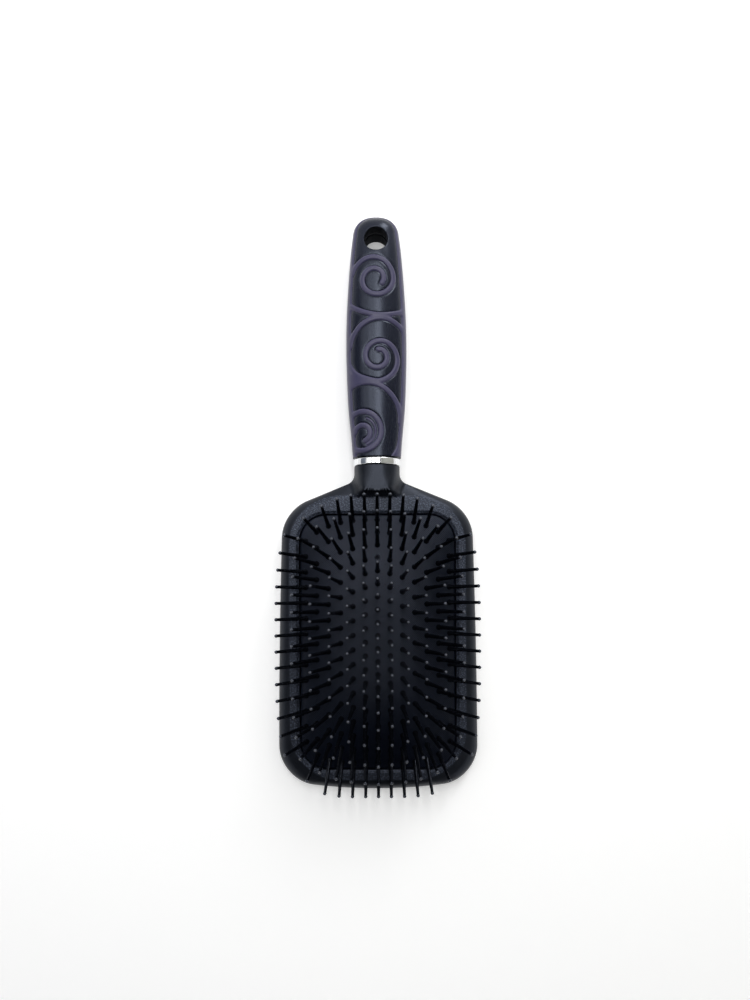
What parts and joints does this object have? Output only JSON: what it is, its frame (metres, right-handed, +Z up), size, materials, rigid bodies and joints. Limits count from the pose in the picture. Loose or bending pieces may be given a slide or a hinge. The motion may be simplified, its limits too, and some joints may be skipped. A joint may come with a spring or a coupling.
{
  "type": "paddle hair brush",
  "caption": "Paddle hair brush with a domed rubber cushion that gives when pressed, ball-tip pins, a chrome band and a two-material handle with raised scrolls and a hanging hole.",
  "frame": {"origin": "middle of the underside of the bounding box, in the plane of the head's flat back", "axes": "+X across the brush, +Y along it from the head towards the free end of the handle, +Z up, the way the pins point"},
  "size_m": [0.0882, 0.2511, 0.0341],
  "materials": {
    "satin_black_plastic": "fine satin grain",
    "charcoal_plastic": "gloss",
    "purple_overmould": "soft touch, satin",
    "chrome": "mirror",
    "black_rubber": "matt",
    "black_nylon": "gloss"
  },
  "bodies": {
    "brush_body": {"paddle_head": "satin_black_plastic", "chrome_band": "chrome", "handle_core": "charcoal_plastic", "grip_overmould": "purple_overmould", "rubber_cushion": "black_rubber"},
    "pin_bed": {"pin_row_01": "black_nylon", "pin_row_02": "black_nylon", "pin_row_03": "black_nylon", "pin_row_04": "black_nylon", "pin_row_05": "black_nylon", "pin_row_06": "black_nylon", "pin_row_07": "black_nylon", "pin_row_08": "black_nylon", "pin_row_09": "black_nylon", "pin_row_10": "black_nylon", "pin_row_11": "black_nylon", "pin_row_12": "black_nylon", "pin_row_13": "black_nylon"}
  },
  "joints": [
    {"name": "cushion_press", "type": "slide", "parent": "brush_body", "child": "pin_bed", "axis": [0, 0, -1], "range_m": [0, 0.003], "stiffness_N_per_m": 400, "springref_m": -0.002, "deforming": ["rubber_cushion"]}
  ]
}
